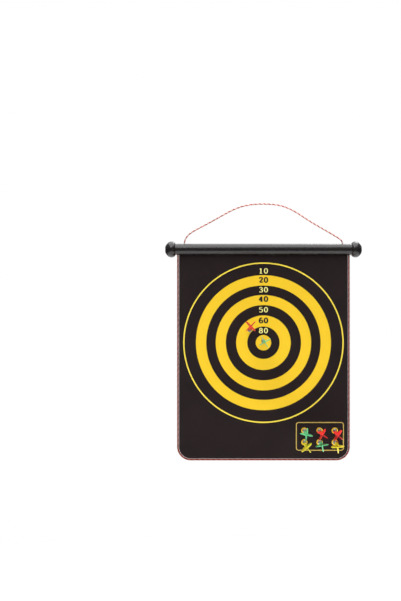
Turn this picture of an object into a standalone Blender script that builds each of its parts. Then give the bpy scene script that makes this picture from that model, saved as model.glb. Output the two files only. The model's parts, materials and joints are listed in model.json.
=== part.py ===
"""Magnetic dartboard: a two-faced target mat that hangs from a slotted tube on a twisted cord.

Eight magnetic darts stand on its front face. Metres, +Z up. The origin is the underside of
the cord's apex, where a hook bears. The ring target faces -Y and the clock target faces +Y.
"""

import math

import bmesh
import bpy
from mathutils import Matrix, Vector
from mathutils.geometry import interpolate_bezier

# ---------------------------------------------------------------- driving dimensions

GAP = 0.0003  # left between two pieces that touch on the real object

# Hanging cord: centreline as (x, z), chosen by hand, from the left exit to the right one
CORD_DIAMETER = 0.0030
CORD_ROUTE = [
    (-0.1740, -0.0847),
    (-0.1718, -0.0765),
    (-0.1660, -0.0678),
    (-0.1550, -0.0593),
    (-0.1380, -0.0500),
    (-0.1180, -0.0393),
    (-0.0980, -0.0282),
    (-0.0800, -0.0181),
    (-0.0630, -0.0098),
    (-0.0420, -0.0027),
    (-0.0210, 0.0006),
    (0.0000, 0.0015),
    (0.0210, 0.0005),
    (0.0420, -0.0034),
    (0.0620, -0.0115),
    (0.0800, -0.0220),
    (0.0980, -0.0338),
    (0.1180, -0.0460),
    (0.1380, -0.0575),
    (0.1560, -0.0680),
    (0.1660, -0.0742),
    (0.1717, -0.0792),
    (0.1740, -0.0847),
]
CORD_SPACING = 0.0075  # between the points of the cord's solid
CORD_HOLE_CLEARANCE = 0.00075
CORD_END_CLEARANCE = 0.0013  # lets the tube tilt under the ends of the cord
KNOT_RADIUS = 1.2 * CORD_DIAMETER

# Header tube and the two ball caps that close it
TUBE_DIAMETER = 0.0250
TUBE_WALL = 0.0015
TUBE_BESIDE_MAT = 0.0040  # length of tube shown on each side of the mat
CAP_OVERHANG = 0.0050  # how far the cap's belly stands out from the tube
CAP_RIM_WALL = 0.0012
CAP_LENGTH = 0.0220
CAP_WIDEST = 0.0075  # rim to widest section
CAP_BULGE = 0.0155  # half length of the ellipsoid that the cap's nose follows
CAP_SHOULDER = 0.0165  # rim to the shallow step round the nose
CAP_STEP = 0.0005
CAP_SOCKET = 0.0120

# Mat: two printed cloths over a ferrous sheet, edged with a twisted cord
MAT_WIDTH = 0.3800  # over the edge cord
MAT_LENGTH = 0.4515  # underside of the tube to the lowest point of the edge cord
MAT_CORNER_RADIUS = 0.0300  # outside of the edge cord
EDGE_CORD_DIAMETER = 0.0040
CLOTH_THICKNESS = 0.0005
CORE_THICKNESS = 0.0008
CORE_INSET = 0.0030
EDGE_CORD_START = 0.0030  # below the line on which the mat folds
SLOT_CLEARANCE = 0.0006
FOLD_CLEARANCE = 0.0006

# Rod that keeps the hem of the mat inside the tube
ROD_DIAMETER = 0.0060
ROD_END_PLAY = 0.0020
HEM_THICKNESS = 0.0012

# Dart, measured along its own axis from the magnet's face
MAGNET_DIAMETER = 0.0078
MAGNET_THICKNESS = 0.0030
MAGNET_CHAMFER = 0.0003
CUP_WALL = 0.0004
CUP_FRONT = 0.0005  # how far the magnet stands out of its cup
CUP_FLOOR = 0.0005
CUP_PIN_SEAT = 0.0012  # depth of the pin's seat in the back of the cup
CUP_CHAMFER = 0.0006
PIN_DIAMETER = 0.0028
BARREL_FRONT = 0.0194
BARREL_LENGTH = 0.0154
BARREL_WALL = 0.0008  # round the pin
BARREL_RING_HEIGHT = 0.0004
BARREL_RING_LENGTH = 0.0016
BARREL_EDGE = 0.0006
PIN_IN_BARREL = 0.0080
SHAFT_DIAMETER = 0.0035
SHAFT_LENGTH = 0.0207
SHAFT_TANG_DIAMETER = 0.0026
SHAFT_TANG_LENGTH = 0.0040
SHAFT_TIP_RADIUS = 0.0006  # where the shaft runs out between the vanes
VANE_LENGTH = 0.0470
VANE_HALF_SPAN = 0.0142
VANE_THICKNESS = 0.0010
VANE_NOTCH = 0.0030
VANE_OVERLAP = 0.0010  # the vanes start this far before the shaft begins to taper

# Targets and the parking spots, as places on the mat. Heights are below the tube's axis
RING_CENTRE_DROP = 0.2038
SPOT_INSET_RIGHT = 0.0331  # right edge of the mat to the last column of spots
SPOT_INSET_BOTTOM = 0.0401  # bottom edge of the mat to the lower row of spots
SPOT_COLUMN_CLEARANCE = 0.00505  # between the vanes of two darts side by side
SPOT_ROW_OVERLAP = 0.0027  # the vanes of one row stand between the vanes of the other

SPOT_COLUMN_PITCH = 2 * VANE_HALF_SPAN + SPOT_COLUMN_CLEARANCE
SPOT_ROW_PITCH = 2 * VANE_HALF_SPAN - SPOT_ROW_OVERLAP
LAST_COLUMN = MAT_WIDTH / 2 - SPOT_INSET_RIGHT
LOWER_ROW_DROP = TUBE_DIAMETER / 2 + MAT_LENGTH - SPOT_INSET_BOTTOM
SPOT_COLUMNS = [LAST_COLUMN - SPOT_COLUMN_PITCH * i for i in (2, 1, 0)]
SPOT_ROW_DROPS = [LOWER_ROW_DROP - SPOT_ROW_PITCH, LOWER_ROW_DROP]

# Each dart: name, colour, x, drop, upward lean and spin of its vanes in degrees
DARTS = [
    ("dart_bull", "green", 0.0000, RING_CENTRE_DROP - 0.0020, 0.0, 30.0),
    ("dart_ring", "red", -0.0304, RING_CENTRE_DROP - 0.0264, 6.6, 45.0),
    ("dart_park_1", "green", SPOT_COLUMNS[0], SPOT_ROW_DROPS[0], -2.0, -10.0),
    ("dart_park_2", "red", SPOT_COLUMNS[1], SPOT_ROW_DROPS[0], -2.0, -30.0),
    ("dart_park_3", "red", SPOT_COLUMNS[2], SPOT_ROW_DROPS[0], -3.0, -38.0),
    ("dart_park_4", "yellow", SPOT_COLUMNS[0], SPOT_ROW_DROPS[1], -3.0, 40.0),
    ("dart_park_5", "green", SPOT_COLUMNS[1], SPOT_ROW_DROPS[1], 0.0, 10.0),
    ("dart_park_6", "yellow", SPOT_COLUMNS[2], SPOT_ROW_DROPS[1], -2.0, 5.0),
]

# ---------------------------------------------------------------- sizes that follow

CORD_EXIT_X = CORD_ROUTE[-1][0]
TILT_Z = CORD_ROUTE[0][1] - CORD_END_CLEARANCE
TUBE_RADIUS = TUBE_DIAMETER / 2
TUBE_BORE_RADIUS = TUBE_RADIUS - TUBE_WALL
TUBE_SHOWN = MAT_WIDTH + 2 * TUBE_BESIDE_MAT
TUBE_LENGTH = TUBE_SHOWN + 2 * (CAP_SOCKET - 2 * GAP)
TUBE_Z = TILT_Z - TUBE_RADIUS
TUBE_UNDERSIDE_Z = TUBE_Z - TUBE_RADIUS
CAP_RADIUS = TUBE_RADIUS + CAP_OVERHANG
CAP_RIM_RADIUS = TUBE_RADIUS + GAP + CAP_RIM_WALL

MAT_HALF_THICKNESS = CORE_THICKNESS / 2 + GAP + CLOTH_THICKNESS
CLOTH_OFFSET = CORE_THICKNESS / 2 + GAP + CLOTH_THICKNESS / 2
SLOT_HALF_WIDTH = MAT_HALF_THICKNESS + SLOT_CLEARANCE
FOLD_Z = TUBE_UNDERSIDE_Z - MAT_HALF_THICKNESS - FOLD_CLEARANCE
MAT_BOTTOM = TUBE_UNDERSIDE_Z - MAT_LENGTH - FOLD_Z  # below the fold line, negative
EDGE_CORD_RADIUS = EDGE_CORD_DIAMETER / 2
CLOTH_MARGIN = EDGE_CORD_DIAMETER + GAP

ROD_RADIUS = ROD_DIAMETER / 2
HEM_BORE_RADIUS = ROD_RADIUS + GAP
HEM_RADIUS = HEM_BORE_RADIUS + HEM_THICKNESS
HEM_Z = TUBE_Z - TUBE_BORE_RADIUS + GAP + HEM_RADIUS
ROD_LENGTH = TUBE_LENGTH - 2 * ROD_END_PLAY

CUP_REAR = MAGNET_THICKNESS + GAP + CUP_FLOOR + CUP_PIN_SEAT
PIN_BORE_RADIUS = PIN_DIAMETER / 2 + GAP
BARREL_RADIUS = PIN_BORE_RADIUS + BARREL_WALL
BARREL_RING_RADIUS = BARREL_RADIUS + BARREL_RING_HEIGHT

TUBE_SIDES = 48
CAP_SIDES = 36
SMOOTH_ANGLE = math.radians(35)

# Local x, y, z of an outline drawn flat, stood up to face along the tube or along the darts
ALONG_TUBE = Matrix(((0, 0, 1, 0), (1, 0, 0, 0), (0, 1, 0, 0), (0, 0, 0, 1)))
FACING_FRONT = Matrix.Rotation(math.radians(90), 4, "X")

COLOURS = {
    "header_plastic": ((0.020, 0.016, 0.015), 0.30, 0.0),
    "mat_cloth": ((0.026, 0.020, 0.018), 0.95, 0.0),
    "ferrous_sheet": ((0.10, 0.10, 0.11), 0.60, 0.0),
    "rod_steel": ((0.50, 0.50, 0.52), 0.35, 1.0),
    "cord_fibre": ((0.62, 0.20, 0.17), 0.85, 0.0),
    "edge_fibre": ((0.62, 0.22, 0.12), 0.85, 0.0),
    "magnet_nickel": ((0.66, 0.66, 0.68), 0.22, 1.0),
    "dart_steel": ((0.48, 0.47, 0.46), 0.28, 1.0),
    "dart_red": ((0.80, 0.03, 0.03), 0.35, 0.0),
    "dart_green": ((0.09, 0.62, 0.26), 0.35, 0.0),
    "dart_yellow": ((0.90, 0.78, 0.02), 0.35, 0.0),
}

# ---------------------------------------------------------------- scene and helpers


def clear_scene():
    for obj in list(bpy.data.objects):
        bpy.data.objects.remove(obj)


def make_collection(name):
    collection = bpy.data.collections.new(name)
    bpy.context.scene.collection.children.link(collection)
    return collection


def make_material(name):
    colour, roughness, metallic = COLOURS[name]
    material = bpy.data.materials.new(name)
    material.use_nodes = True
    shader = material.node_tree.nodes["Principled BSDF"]
    shader.inputs["Base Color"].default_value = (*colour, 1.0)
    shader.inputs["Roughness"].default_value = roughness
    shader.inputs["Metallic"].default_value = metallic
    material.diffuse_color = (*colour, 1.0)
    return material


def add_object(name, data, collection):
    obj = bpy.data.objects.new(name, data)
    collection.objects.link(obj)
    return obj


def add_frame(name, location, parent=None):
    """An empty that stands on a joint's axis and carries the pieces that move about it."""
    frame = add_object(name, None, PARTS)
    frame.empty_display_size = 0.02
    frame.location = location
    frame.parent = parent
    return frame


def finish(obj, material, location, parent):
    """Give a piece its material and its place under the frame of its body."""
    obj.data.materials.clear()
    obj.data.materials.append(MATERIALS[material])
    obj.location = location
    obj.parent = parent
    return obj


def to_mesh(obj):
    """Swap an object for its evaluated mesh, with its caps welded and its round faces smooth."""
    graph = bpy.context.evaluated_depsgraph_get()
    mesh = bpy.data.meshes.new_from_object(obj.evaluated_get(graph), depsgraph=graph)
    bm = bmesh_from(mesh)
    bmesh.ops.remove_doubles(bm, verts=bm.verts, dist=1e-6)
    bm.to_mesh(mesh)
    bm.free()
    mesh.shade_smooth()
    mesh.set_sharp_from_angle(angle=SMOOTH_ANGLE)
    name, matrix, collection = obj.name, obj.matrix_world.copy(), obj.users_collection[0]
    bpy.data.objects.remove(obj)
    baked = add_object(name, mesh, collection)
    mesh.name = name
    baked.matrix_world = matrix
    return baked


def bmesh_from(mesh):
    bm = bmesh.new()
    bm.from_mesh(mesh)
    return bm


def boolean(obj, other, operation):
    modifier = obj.modifiers.new(operation.lower(), "BOOLEAN")
    modifier.operation = operation
    modifier.solver = "EXACT"
    modifier.object = other
    return modifier


def turned(name, profile, sides):
    """A turned solid about local Z from (radius, z) points, listed down its outer side."""
    mesh = bpy.data.meshes.new(name)
    edges = [(i, i + 1) for i in range(len(profile) - 1)]
    mesh.from_pydata([(radius, 0, z) for radius, z in profile], edges, [])
    obj = add_object(name, mesh, PARTS)
    screw = obj.modifiers.new("turn", "SCREW")
    screw.steps = sides
    screw.render_steps = sides
    screw.use_merge_vertices = True
    screw.merge_threshold = 1e-6
    return to_mesh(obj)


def flat_plate(name, outlines, thickness, turn):
    """A plate of the given closed outlines (holes included), stood up by the matrix turn."""
    curve = bpy.data.curves.new(name, "CURVE")
    curve.dimensions = "2D"
    curve.fill_mode = "BOTH"
    curve.extrude = thickness / 2
    for outline in outlines:
        spline = curve.splines.new("POLY")
        spline.points.add(len(outline) - 1)
        for point, (x, y) in zip(spline.points, outline):
            point.co = (x, y, 0, 1)
        spline.use_cyclic_u = True
    obj = to_mesh(add_object(name, curve, PARTS))
    obj.data.transform(turn)
    return obj


def round_bar(name, points, diameter):
    """A bar of round section along a line of points, with eight sides and closed ends."""
    curve = bpy.data.curves.new(name, "CURVE")
    curve.dimensions = "3D"
    curve.bevel_depth = diameter / 2
    curve.bevel_resolution = 2
    curve.use_fill_caps = True
    spline = curve.splines.new("POLY")
    spline.points.add(len(points) - 1)
    for point, place in zip(spline.points, points):
        point.co = (*place, 1)
    return to_mesh(add_object(name, curve, PARTS))


def cylinder_cutter(name, diameter, depth, location):
    bpy.ops.mesh.primitive_cylinder_add(
        vertices=24, radius=diameter / 2, depth=depth, location=location
    )
    cutter = bpy.context.object
    cutter.name = name
    for collection in list(cutter.users_collection):
        collection.objects.unlink(cutter)
    CUTTERS.objects.link(cutter)
    cutter.hide_render = True
    cutter.display_type = "WIRE"
    return cutter


def arc(centre, radius, start, end, steps):
    """Points on an arc from start to end degrees, both included."""
    x, y = centre
    angles = [math.radians(start + (end - start) * i / steps) for i in range(steps + 1)]
    return [(x + radius * math.cos(a), y + radius * math.sin(a)) for a in angles]


# ---------------------------------------------------------------- hanging cord


def smooth_route(route, spacing):
    """Evenly spaced points on a smooth curve that passes through the route's points."""
    points = [Vector((x, 0, z)) for x, z in route]
    fine = [points[0]]
    for i in range(len(points) - 1):
        before = points[max(i - 1, 0)]
        after = points[min(i + 2, len(points) - 1)]
        start, end = points[i], points[i + 1]
        reach = (end - start).length / 3
        leave = start + (end - before).normalized() * reach
        arrive = end - (after - start).normalized() * reach
        fine += interpolate_bezier(start, leave, arrive, end, 17)[1:]
    lengths = [0.0]
    for a, b in zip(fine, fine[1:]):
        lengths.append(lengths[-1] + (b - a).length)
    count = round(lengths[-1] / spacing)
    even, at = [fine[0]], 0
    for i in range(1, count):
        target = lengths[-1] * i / count
        while lengths[at + 1] < target:
            at += 1
        share = (target - lengths[at]) / (lengths[at + 1] - lengths[at])
        even.append(fine[at].lerp(fine[at + 1], share))
    return even + [fine[-1]]


def make_hanging_cord(frame):
    points = smooth_route(CORD_ROUTE, CORD_SPACING)
    cord = round_bar("hanging_cord", points, CORD_DIAMETER)
    finish(cord, "cord_fibre", (0, 0, 0), frame)


def make_knot(side, frame):
    """The stub of the cord through the tube's wall and the knot that stops it inside."""
    top = TUBE_RADIUS - GAP
    middle = TUBE_BORE_RADIUS - GAP - KNOT_RADIUS
    neck = math.degrees(math.asin(CORD_DIAMETER / 2 / KNOT_RADIUS))
    ball = arc((0, middle), KNOT_RADIUS, 90 - neck, -90, 8)[:-1]
    profile = [(0, top), (CORD_DIAMETER / 2, top)] + ball + [(0, middle - KNOT_RADIUS)]
    knot = turned("cord_knot_left" if side < 0 else "cord_knot_right", profile, 14)
    finish(knot, "cord_fibre", (side * CORD_EXIT_X, 0, TUBE_Z - TILT_Z), frame)


# ---------------------------------------------------------------- header


def slot_angle(radius):
    return math.degrees(math.asin(SLOT_HALF_WIDTH / radius))


def make_tube(frame):
    """The tube, slotted along its underside for the mat and drilled on top for the cord."""
    outer = slot_angle(TUBE_RADIUS)
    inner = slot_angle(TUBE_BORE_RADIUS)
    outline = arc((0, 0), TUBE_RADIUS, outer - 90, 270 - outer, TUBE_SIDES)
    outline += arc((0, 0), TUBE_BORE_RADIUS, 270 - inner, inner - 90, TUBE_SIDES)
    tube = flat_plate("header_tube", [outline], TUBE_LENGTH, ALONG_TUBE)
    finish(tube, "header_plastic", (0, 0, TUBE_Z - TILT_Z), frame)
    for side, name in ((-1, "cord_hole_left"), (1, "cord_hole_right")):
        place = (side * CORD_EXIT_X, 0, TILT_Z)
        diameter = CORD_DIAMETER + 2 * CORD_HOLE_CLEARANCE
        cutter = cylinder_cutter(name, diameter, 4 * TUBE_WALL, place)
        boolean(tube, cutter, "DIFFERENCE")


def cap_profile():
    """Nose, shoulder step, widest section, rim and socket of a ball cap, nose first."""
    radius = CAP_RADIUS

    def nose_radius(z):
        return radius * math.sqrt(1 - ((z - CAP_WIDEST) / CAP_BULGE) ** 2)

    half = radius * math.sqrt(1 - (CAP_RIM_RADIUS / radius) ** 2)
    rear = CAP_WIDEST / half * radius
    nose = [(nose_radius(CAP_LENGTH) - 2 * CAP_STEP, CAP_LENGTH)]
    for share in (0.93, 0.85, 0.75, 0.62, 0.48, 0.30, 0.10):
        z = CAP_SHOULDER + (CAP_LENGTH - CAP_SHOULDER) * share
        nose.append((nose_radius(z) - CAP_STEP, z))
    nose.append((nose_radius(CAP_SHOULDER) - CAP_STEP, CAP_SHOULDER))
    belly = []
    for share in (0.96, 0.75, 0.5, 0.25, 0.0):
        z = CAP_WIDEST + (CAP_SHOULDER - CAP_WIDEST) * share
        belly.append((nose_radius(z), z))
    for share in (0.7, 0.4, 0.15):
        z = CAP_WIDEST * share
        belly.append((radius * math.sqrt(1 - ((z - CAP_WIDEST) / rear) ** 2), z))
    belly.append((CAP_RIM_RADIUS, 0))
    bore = TUBE_RADIUS + GAP
    return [(0, CAP_LENGTH)] + nose + belly + [(bore, 0), (bore, CAP_SOCKET), (0, CAP_SOCKET)]


def make_cap(side, frame):
    cap = turned("cap_left" if side < 0 else "cap_right", cap_profile(), CAP_SIDES)
    cap.data.transform(Matrix.Rotation(side * math.radians(90), 4, "Y"))
    finish(cap, "header_plastic", (side * TUBE_SHOWN / 2, 0, TUBE_Z - TILT_Z), frame)


def make_hem(frame):
    """The hem of the mat round its rod, with the neck that passes down through the slot."""
    neck = math.degrees(math.asin(MAT_HALF_THICKNESS / HEM_RADIUS))
    neck_end = TUBE_UNDERSIDE_Z + GAP - HEM_Z
    outer = arc((0, 0), HEM_RADIUS, neck - 90, 270 - neck, 28)
    outer += [(-MAT_HALF_THICKNESS, neck_end), (MAT_HALF_THICKNESS, neck_end)]
    bore = arc((0, 0), HEM_BORE_RADIUS, 0, 345, 23)
    length = MAT_WIDTH - 2 * CLOTH_MARGIN
    hem = flat_plate("mat_hem", [outer, bore], length, ALONG_TUBE)
    finish(hem, "mat_cloth", (0, 0, HEM_Z - TILT_Z), frame)
    profile = [(0, ROD_LENGTH), (ROD_RADIUS, ROD_LENGTH), (ROD_RADIUS, 0), (0, 0)]
    rod = turned("hem_rod", profile, 20)
    rod.data.transform(Matrix.Rotation(math.radians(90), 4, "Y"))
    finish(rod, "rod_steel", (-ROD_LENGTH / 2, 0, HEM_Z - TILT_Z), frame)


# ---------------------------------------------------------------- mat


def mat_line(margin, top):
    """Down the left side, along the bottom and up the right side, this far in from the edge."""
    half = MAT_WIDTH / 2 - margin
    bottom = MAT_BOTTOM + margin
    radius = MAT_CORNER_RADIUS - margin
    left = arc((radius - half, bottom + radius), radius, 180, 270, 10)
    right = arc((half - radius, bottom + radius), radius, 270, 360, 10)
    return [(-half, top)] + left + right + [(half, top)]


def make_mat(frame):
    core_margin = CLOTH_MARGIN + CORE_INSET
    layers = [
        ("front_cloth", "mat_cloth", CLOTH_MARGIN, CLOTH_THICKNESS, -CLOTH_OFFSET),
        ("ferrous_core", "ferrous_sheet", core_margin, CORE_THICKNESS, 0),
        ("back_cloth", "mat_cloth", CLOTH_MARGIN, CLOTH_THICKNESS, CLOTH_OFFSET),
    ]
    for name, material, margin, thickness, y in layers:
        layer = flat_plate(name, [mat_line(margin, 0)], thickness, FACING_FRONT)
        finish(layer, material, (0, y, 0), frame)
    route = [(x, 0, z) for x, z in mat_line(EDGE_CORD_RADIUS, -EDGE_CORD_START)]
    edge = round_bar("edge_cord", route, EDGE_CORD_DIAMETER)
    finish(edge, "edge_fibre", (0, 0, 0), frame)


# ---------------------------------------------------------------- darts


def magnet_profile():
    radius, chamfer = MAGNET_DIAMETER / 2, MAGNET_CHAMFER
    top = MAGNET_THICKNESS
    return [
        (0, top),
        (radius - chamfer, top),
        (radius, top - chamfer),
        (radius, chamfer),
        (radius - chamfer, 0),
        (0, 0),
    ]


def cup_profile():
    recess = MAGNET_DIAMETER / 2 + GAP
    outside = recess + CUP_WALL
    recess_end = MAGNET_THICKNESS + GAP
    seat = PIN_BORE_RADIUS
    seat_end = recess_end + CUP_FLOOR
    return [
        (0, seat_end),
        (seat, seat_end),
        (seat, CUP_REAR),
        (outside - CUP_CHAMFER, CUP_REAR),
        (outside, CUP_REAR - CUP_CHAMFER),
        (outside, CUP_FRONT),
        (recess, CUP_FRONT),
        (recess, recess_end),
        (0, recess_end),
    ]


def pin_profile():
    front = MAGNET_THICKNESS + 2 * GAP + CUP_FLOOR
    rear = BARREL_FRONT + PIN_IN_BARREL - GAP
    return [(0, rear), (PIN_DIAMETER / 2, rear), (PIN_DIAMETER / 2, front), (0, front)]


def barrel_profile():
    """A sleeve bored from the front for the pin and from the rear for the shaft's tang."""
    rear = BARREL_FRONT + BARREL_LENGTH
    radius, ring = BARREL_RADIUS, BARREL_RING_RADIUS
    ring_front = rear - BARREL_RING_LENGTH
    pin_bore = PIN_BORE_RADIUS
    tang_bore = SHAFT_TANG_DIAMETER / 2 + GAP
    return [
        (0, rear - SHAFT_TANG_LENGTH),
        (tang_bore, rear - SHAFT_TANG_LENGTH),
        (tang_bore, rear),
        (ring - BARREL_EDGE / 2, rear),
        (ring, rear - BARREL_EDGE / 2),
        (ring, ring_front),
        (radius, ring_front - BARREL_EDGE / 2),
        (radius, BARREL_FRONT + BARREL_EDGE),
        (radius - BARREL_EDGE, BARREL_FRONT),
        (pin_bore, BARREL_FRONT),
        (pin_bore, BARREL_FRONT + PIN_IN_BARREL),
        (0, BARREL_FRONT + PIN_IN_BARREL),
    ]


def shaft_profile():
    """Round shaft from its tang in the barrel to where it runs out between the vanes."""
    shoulder = BARREL_FRONT + BARREL_LENGTH + GAP
    vanes = shoulder + SHAFT_LENGTH
    radius = SHAFT_DIAMETER / 2
    tip = vanes + VANE_LENGTH * 0.5
    tang = SHAFT_TANG_DIAMETER / 2
    tang_front = shoulder - SHAFT_TANG_LENGTH
    return [
        (0, tip),
        (SHAFT_TIP_RADIUS, tip),
        (radius, vanes),
        (radius, shoulder),
        (tang, shoulder),
        (tang, tang_front),
        (0, tang_front),
    ]


def vane_outline():
    """A pear-shaped pair of vanes with a notch in its tail, drawn from its front end up."""

    def at(across, along):
        return Vector((across * VANE_HALF_SPAN, along * VANE_LENGTH, 0))

    start = Vector((SHAFT_DIAMETER / 4, 0, 0))
    wide, lobe = at(1, 0.62), at(0.46, 1)
    notch = Vector((0, VANE_LENGTH - VANE_NOTCH, 0))
    edges = [
        (start, start + at(0.55, 0.18), wide - at(0, 0.26), wide, 8),
        (wide, wide + at(0, 0.20), lobe + at(0.30, 0), lobe, 7),
        (lobe, lobe - at(0.22, 0), notch + at(0.14, 0), notch, 4),
    ]
    right = [start]
    for a, leave, arrive, b, count in edges:
        right += interpolate_bezier(a, leave, arrive, b, count)[1:]
    half = [(point.x, point.y) for point in right]
    return half + [(-x, y) for x, y in reversed(half[:-1])]


def make_flight_mesh():
    """Shaft and four vanes as one moulded solid, shared by all darts."""
    start = BARREL_FRONT + BARREL_LENGTH + GAP + SHAFT_LENGTH - VANE_OVERLAP
    flight = turned("flight", shaft_profile(), 12)
    plates = []
    for turn in (0, 90):
        spin = Matrix.Rotation(math.radians(turn), 4, "Z")
        stand = Matrix.Translation((0, 0, start)) @ spin @ FACING_FRONT
        plate = flat_plate("vane_pair", [vane_outline()], VANE_THICKNESS, stand)
        boolean(flight, plate, "UNION")
        plates.append(plate)
    bpy.context.view_layer.update()
    flight = to_mesh(flight)
    for plate in plates:
        bpy.data.objects.remove(plate)
    mesh = flight.data
    bpy.data.objects.remove(flight)
    return mesh


def turned_mesh(name, profile, sides):
    obj = turned(name, profile, sides)
    mesh = obj.data
    bpy.data.objects.remove(obj)
    return mesh


def make_darts(frame):
    """Eight darts that share their meshes, each on a frame at the centre of its magnet's face."""
    pieces = [
        ("magnet", turned_mesh("magnet", magnet_profile(), 18), "magnet_nickel"),
        ("cup", turned_mesh("cup", cup_profile(), 18), "dart_steel"),
        ("pin", turned_mesh("pin", pin_profile(), 12), "dart_steel"),
        ("barrel", turned_mesh("barrel", barrel_profile(), 16), None),
        ("flight", make_flight_mesh(), None),
    ]
    for name, colour, x, drop, lean, spin in DARTS:
        stand_off = GAP + MAGNET_DIAMETER / 2 * math.sin(math.radians(abs(lean)))
        place = (x, -MAT_HALF_THICKNESS - stand_off, TUBE_Z - drop - FOLD_Z)
        dart = add_frame(name, place, frame)
        dart.rotation_euler = (math.radians(90 - lean), 0, 0)
        for piece, mesh, material in pieces:
            obj = add_object(f"{name}_{piece}", mesh, PARTS)
            if not mesh.materials:
                mesh.materials.append(None)
            slot = obj.material_slots[0]
            slot.link = "OBJECT"
            slot.material = MATERIALS[material or f"dart_{colour}"]
            obj.rotation_euler = (0, 0, math.radians(spin))
            obj.parent = dart


# ---------------------------------------------------------------- assembly


def main():
    loop = add_frame("hanging_loop", (0, 0, 0))
    header = add_frame("header_tilt_axis", (0, 0, TILT_Z), loop)
    mat = add_frame("mat_fold_axis", (0, 0, FOLD_Z - TILT_Z), header)
    make_hanging_cord(loop)
    make_tube(header)
    make_hem(header)
    for side in (-1, 1):
        make_knot(side, header)
        make_cap(side, header)
    make_mat(mat)
    make_darts(mat)


clear_scene()
PARTS = make_collection("magnetic_dartboard")
CUTTERS = make_collection("cutters")
MATERIALS = {name: make_material(name) for name in COLOURS}
main()
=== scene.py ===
"""Magnetic dartboard: the finished pieces, their materials, the light and the camera.

Metres, +Z up. The ring target faces -Y and the clock target faces +Y. Every piece is built
where it belongs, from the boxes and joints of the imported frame.
"""

import json
import math

import bmesh
import bpy
from mathutils import Matrix, Vector
from mathutils.geometry import interpolate_bezier


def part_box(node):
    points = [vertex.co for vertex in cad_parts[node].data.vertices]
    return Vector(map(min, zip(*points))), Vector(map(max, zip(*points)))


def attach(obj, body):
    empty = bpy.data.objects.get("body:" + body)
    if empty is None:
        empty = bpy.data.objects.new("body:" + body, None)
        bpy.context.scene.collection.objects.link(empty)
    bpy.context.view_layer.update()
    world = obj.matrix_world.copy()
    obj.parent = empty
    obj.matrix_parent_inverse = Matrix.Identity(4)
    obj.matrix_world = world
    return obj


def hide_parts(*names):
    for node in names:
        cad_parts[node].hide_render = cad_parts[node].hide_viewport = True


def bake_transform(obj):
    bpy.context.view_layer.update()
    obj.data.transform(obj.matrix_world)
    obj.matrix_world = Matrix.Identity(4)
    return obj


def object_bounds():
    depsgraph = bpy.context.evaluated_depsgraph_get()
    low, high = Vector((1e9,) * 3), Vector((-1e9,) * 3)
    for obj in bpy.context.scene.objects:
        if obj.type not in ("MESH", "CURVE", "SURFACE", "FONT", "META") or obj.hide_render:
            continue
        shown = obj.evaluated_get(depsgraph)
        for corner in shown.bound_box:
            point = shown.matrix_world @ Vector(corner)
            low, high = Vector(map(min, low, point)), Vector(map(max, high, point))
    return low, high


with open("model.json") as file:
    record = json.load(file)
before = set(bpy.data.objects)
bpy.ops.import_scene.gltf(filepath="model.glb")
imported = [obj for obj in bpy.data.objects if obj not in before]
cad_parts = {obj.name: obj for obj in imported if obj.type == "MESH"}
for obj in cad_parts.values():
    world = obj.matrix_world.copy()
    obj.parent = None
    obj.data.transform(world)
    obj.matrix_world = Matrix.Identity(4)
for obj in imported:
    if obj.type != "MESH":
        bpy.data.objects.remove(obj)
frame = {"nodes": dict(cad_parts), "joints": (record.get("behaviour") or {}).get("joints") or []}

CAD_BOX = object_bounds()

# ---------------------------------------------------------------- sizes read from the frame


def joint_place(name):
    return Vector(next(j for j in frame["joints"] if j["name"] == name)["pos_m"])


def middle(node):
    low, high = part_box(node)
    return (low + high) / 2


def size(node):
    low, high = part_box(node)
    return high - low


TUBE_RADIUS = size("header_tube").y / 2
TUBE_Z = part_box("header_tube")[1].z - TUBE_RADIUS
TUBE_LENGTH = size("header_tube").x
TUBE_TOP = TUBE_Z + TUBE_RADIUS
TUBE_UNDERSIDE = TUBE_Z - TUBE_RADIUS
FOLD_Z = joint_place("mat_fold").z

CLOTH_LOW, CLOTH_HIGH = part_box("front_cloth")
CLOTH_FACE = -CLOTH_LOW.y  # from the mat's middle plane to either printed face
CLOTH_THICKNESS = size("front_cloth").y
CORE_THICKNESS = size("ferrous_core").y
CORE_INSET = CLOTH_HIGH.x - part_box("ferrous_core")[1].x

EDGE_RADIUS = size("edge_cord").y / 2
EDGE_HALF_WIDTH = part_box("edge_cord")[1].x - EDGE_RADIUS
EDGE_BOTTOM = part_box("edge_cord")[0].z + EDGE_RADIUS

# ---------------------------------------------------------------- sizes that are set here

# Hanging cord: centreline as (x, z), from the left exit to the right one
CORD_DIAMETER = 0.0030
CORD_ROUTE = [
    (-0.1740, -0.0847),
    (-0.1718, -0.0765),
    (-0.1660, -0.0678),
    (-0.1550, -0.0593),
    (-0.1380, -0.0500),
    (-0.1180, -0.0393),
    (-0.0980, -0.0282),
    (-0.0800, -0.0181),
    (-0.0630, -0.0098),
    (-0.0420, -0.0027),
    (-0.0210, 0.0006),
    (0.0000, 0.0015),
    (0.0210, 0.0005),
    (0.0420, -0.0034),
    (0.0620, -0.0115),
    (0.0800, -0.0220),
    (0.0980, -0.0338),
    (0.1180, -0.0460),
    (0.1380, -0.0575),
    (0.1560, -0.0680),
    (0.1660, -0.0742),
    (0.1717, -0.0792),
    (0.1740, -0.0847),
]
CORD_INTO_HOLE = 0.0012
CORD_LEAD = 0.0100  # length of one full turn of the strands
EDGE_LEAD = 0.0120
EDGE_CORNER_RADIUS = 0.0280
STRAND_SHARE = 0.50  # radius of a strand as a share of its cord's
FIBRE_LEAD = 0.0060  # length of one full turn of the fibres in a strand

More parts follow.
